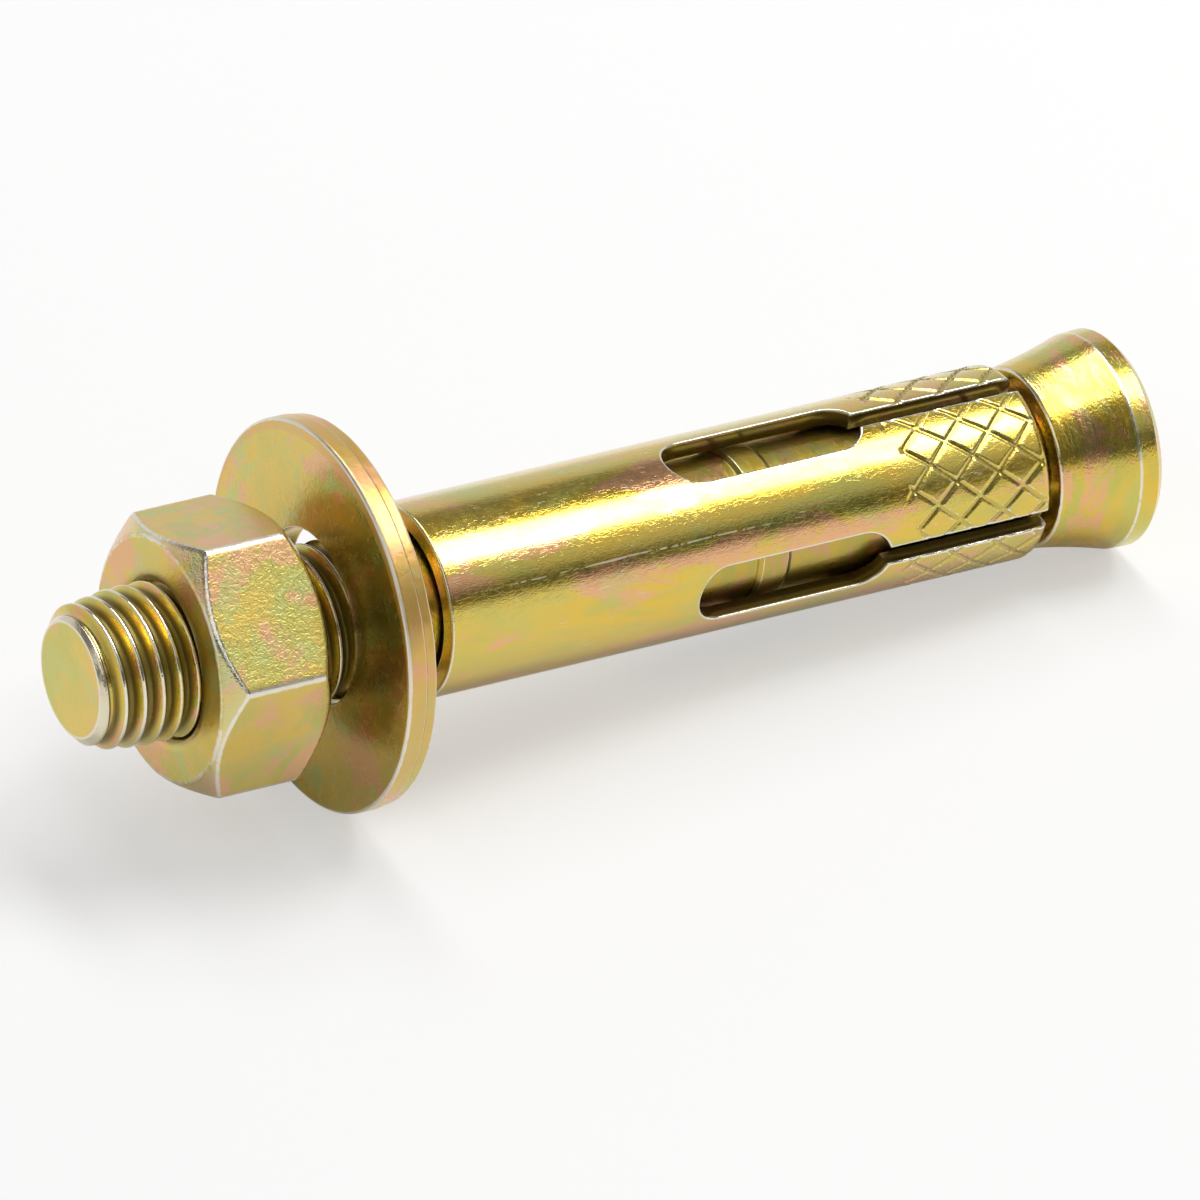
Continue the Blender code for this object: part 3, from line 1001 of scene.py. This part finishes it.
cut = tube.node("GeometryNodeMeshBoolean", taking_away, {"Mesh 1": tube, "Mesh 2": cutters})
finish_tree(cut, sleeve_zinc)
print("the punching tree has", len(punching.nodes), "nodes")


# %% Cutters
cutter_foot = 2.0
cutter_top = 7.0


def window_line(grow):
    """Outline of a window with its slit, as (x, across), grown outwards by grow."""
    half = window_half + grow
    slit = slit_half + grow
    front, rear = window_start + window_half, window_end - window_half
    past = sleeve_rear + 3
    reach = atan2(slit, sqrt(half * half - slit * slit))

    def arc(x, first, last, count):
        return [(x + half * cos(a), half * sin(a)) for a in np.linspace(first, last, count)]

    points = arc(front, pi / 2, 3 * pi / 2, 33) + arc(rear, -pi / 2, -reach, 15)
    points += [(x, -slit) for x in np.linspace(rear + half, past, 14)[1:]]
    points += [(x, slit) for x in np.linspace(past, rear + half, 14)[:-1]]
    return points + arc(rear, reach, pi / 2, 15)


def seam_line(grow):
    """Outline of the seam, as (x, across)."""
    half = seam_half + grow
    first, last = sleeve_front - 3, window_start + window_half
    return [(last, half), (first, half), (first, -half), (last, -half)]


def make_cutter(name, line):
    """A closed cutter whose wall flares to meet the sleeve's surface in a rounded edge."""
    rings = [[(x, t, cutter_foot) for x, t in line(0)]]
    for step in range(5):
        lean = radians(90) * step / 4
        height = sleeve_radius - edge_rounding + edge_rounding * sin(lean)
        grown = line(edge_rounding * (1 - cos(lean)))
        rings.append([(x, t, sqrt(height * height - t * t)) for x, t in grown])
    rings.append([(x, t, cutter_top) for x, t in line(edge_rounding)])
    return clean_mesh(grid_mesh(name, np.array(rings), False, True), cap_ends=True)


# %% The sleeve's mesh
wide_rows = 0.55
window_rows = 0.09
groove_rows = 0.078
bore_rows = 1.2


def sleeve_outline():
    """The tube's outline, with rows close together at the window ends and in the grooved band."""
    corners = [(sleeve_front, bore_radius, 0.10), (sleeve_front, sleeve_radius, 0.16)]
    corners += [(sleeve_rear, sleeve_radius, 0.45), (sleeve_rear, bore_radius, 0.10)]
    points = round_corners(corners, closed=True, steps=5)
    dense = []
    for a, b in zip(points, points[1:] + points[:1]):
        outer = a[1] > sleeve_radius - 0.01 and b[1] > sleeve_radius - 0.01 and b[0] - a[0] > 1
        if outer:
            stops = [(a[0], wide_rows), (window_start - 0.3, window_rows), (window_start + 0.6, wide_rows)]
            stops += [(window_end - 0.4, window_rows), (groove_band_start - 0.8, groove_rows), (b[0], 0)]
            for (low, longest), (high, _) in zip(stops, stops[1:]):
                dense += split_long([(low, sleeve_radius), (high, sleeve_radius)], longest)[:-1]
        else:
            dense += split_long([a, b], bore_rows)[:-1]
    return dense


tube_mesh = clean_mesh(turned_mesh("sleeve", sleeve_outline(), sleeve_columns))
punched = run_tree(pressing, tube_mesh, groove_sizes)
cuts = [("window", window_line, window_count, window_turn), ("seam", seam_line, 1, window_turn + 3 * pi / 2)]
for name, line, count, turn in cuts:
    cutter = new_object(name + "_cutter", make_cutter(name, line))
    standing = turn - pi / 2
    punched = run_tree(punching, punched, {"Cutter": cutter, "Count": count, "Turn": standing})
    bpy.data.objects.remove(cutter)
punched.name = "sleeve"
clean_mesh(punched)
lay_down("slit_sleeve", punched, "sleeve", "expansion_sleeve", sleeve_zinc)

# %% [markdown]
# ## Floor and light
# Metal looks like what stands round it. The studio has a white floor and low pale walls with a
# dark band above them, a grey curtain to one side, a bright card behind the camera and a dim
# ceiling, and two soft boxes hang over the anchor. The soft boxes draw the white lines along the
# sleeve and the flare, the dark band and the ceiling the olive bands beside them, and the walls
# the warm gold below. Walls of mesh could do the same, but they would show in other views, so the
# world paints them by direction.

# %% Floor
side = 4.0
corners = [(-side, -side, 0), (side, -side, 0), (side, side, 0), (-side, side, 0)]
floor_mesh = bpy.data.meshes.new("floor")
floor_mesh.from_pydata(corners, [], [(0, 1, 2, 3)])
floor = new_object("floor", floor_mesh)
floor_paint = bpy.data.materials.new("floor_paint")
floor_paint.use_nodes = True
tree = floor_paint.node_tree
floor_shader = tree.nodes["Principled BSDF"]
floor_shader.inputs["Base Color"].default_value = (0.965, 0.963, 0.96, 1)
floor_shader.inputs["Roughness"].default_value = 0.9
floor_shader.inputs["Specular IOR Level"].default_value = 0.1
seen_share = 0.47
mirrored_share = 0.05
paint = Wire(tree)
rays = paint.node("ShaderNodeLightPath")
mirrored = rays.out("Is Glossy Ray").highest(rays.out("Is Transmission Ray"))
share = (rays * seen_share).highest(mirrored * mirrored_share)
white = paint.node("ShaderNodeEmission", values={"Color": (1, 1, 1, 1), "Strength": 1.0})
body = Wire(tree, floor_shader.outputs[0])
shown = paint.node("ShaderNodeMixShader", values={0: share, 1: body, 2: white})
tree.links.new(shown.socket, tree.nodes["Material Output"].inputs["Surface"])
floor_mesh.materials.append(floor_paint)
print("the floor is", 2 * side, "m wide")

# %% Walls and ceiling in the world
wall_level = 1.0
back_wall_level = 0.75
dark_band_level = 0.09
curtain_level = 0.62
card_level = 0.9
ceiling_level = 0.18
world = bpy.data.worlds.new("studio")
bpy.context.scene.world = world
world.use_nodes = True
tree = world.node_tree
sky = Wire(tree)
direction = sky.node("ShaderNodeTexCoord", out="Generated")
facing = sky.node("ShaderNodeSeparateXYZ", values={"Vector": direction})
height = facing.out("Z")
forwards = 0.0 - facing.out("Y")
front = wall_level + height.step(0.12, 0.20) * (dark_band_level - wall_level)
curtain = dark_band_level + facing.step(0.25, 0.42) * (curtain_level - dark_band_level)
front = front + height.step(0.40, 0.52) * (curtain - dark_band_level)
front = front + height.step(0.74, 0.86) * (ceiling_level - curtain)
card = (0.0 - facing).step(0.05, 0.30) * height.step(0.42, 0.55) * (1 - height.step(0.86, 0.94))
front = front + card * card_level
back = back_wall_level + height.step(0.42, 0.55) * (ceiling_level - back_wall_level)
level = back + forwards.step(-0.1, 0.2) * (front - back)
background = tree.nodes["Background"]
tree.links.new(level.socket, background.inputs["Strength"])
background.inputs["Color"].default_value = (1, 1, 1, 1)
print("the studio has", len(tree.nodes), "nodes")


# %% Soft boxes
def soft_box(name, place, aim, width, depth, radiance):
    """An area light given by how bright its face is, where 1 is white."""
    light = bpy.data.lights.new(name, "AREA")
    light.shape = "RECTANGLE"
    light.size, light.size_y = width, depth
    light.energy = radiance * pi * width * depth
    lamp = new_object(name, light)
    lamp.location = place
    lamp.rotation_euler = (Vector(aim) - Vector(place)).to_track_quat("-Z", "Y").to_euler()
    lamp.visible_camera = False
    print(name, "is", round(width * 100), "by", round(depth * 100), "cm")


soft_box("sleeve_box", (0.58, -0.16, 0.85), (0.58, -0.16, 0.0), 0.30, 0.47, 9.0)
soft_box("flare_box", (0.22, 0.24, 0.85), (0.22, 0.24, 0.0), 0.24, 0.96, 5.4)

# %% [markdown]
# ## Camera
# The photograph looks down at the anchor from the front left with a long lens, so that parallel
# lines stay nearly parallel. The camera stands a good metre away and takes in sixty millimetres.
# Much further off would flatten the picture, and other views would lose the floor.

# %% Camera
camera_turn = radians(29.84)
camera_rise = radians(34.128)
camera_distance = 1.2
frame_width = 0.0598
shift_right = 0.00017
shift_down = 0.002034
right = Vector((cos(camera_turn), -sin(camera_turn), 0))
flat_share = cos(camera_rise)
ahead = Vector((sin(camera_turn) * flat_share, cos(camera_turn) * flat_share, -sin(camera_rise)))
upwards = right.cross(ahead)
middle = Vector((0, 0, 0.008))
target = middle + right * shift_right - upwards * shift_down
camera_data = bpy.data.cameras.new("camera")
camera_data.sensor_width = 36.0
camera_data.lens = camera_data.sensor_width * camera_distance / frame_width
camera_data.clip_start = 0.1
camera_data.clip_end = 50.0
camera = new_object("camera", camera_data)
turned = Matrix((right, upwards, -ahead)).transposed()
camera.matrix_world = Matrix.Translation(target - ahead * camera_distance) @ turned.to_4x4()
bpy.context.scene.camera = camera
bpy.context.scene.view_settings.view_transform = "Standard"
print("the lens is", round(camera_data.lens), "mm long")
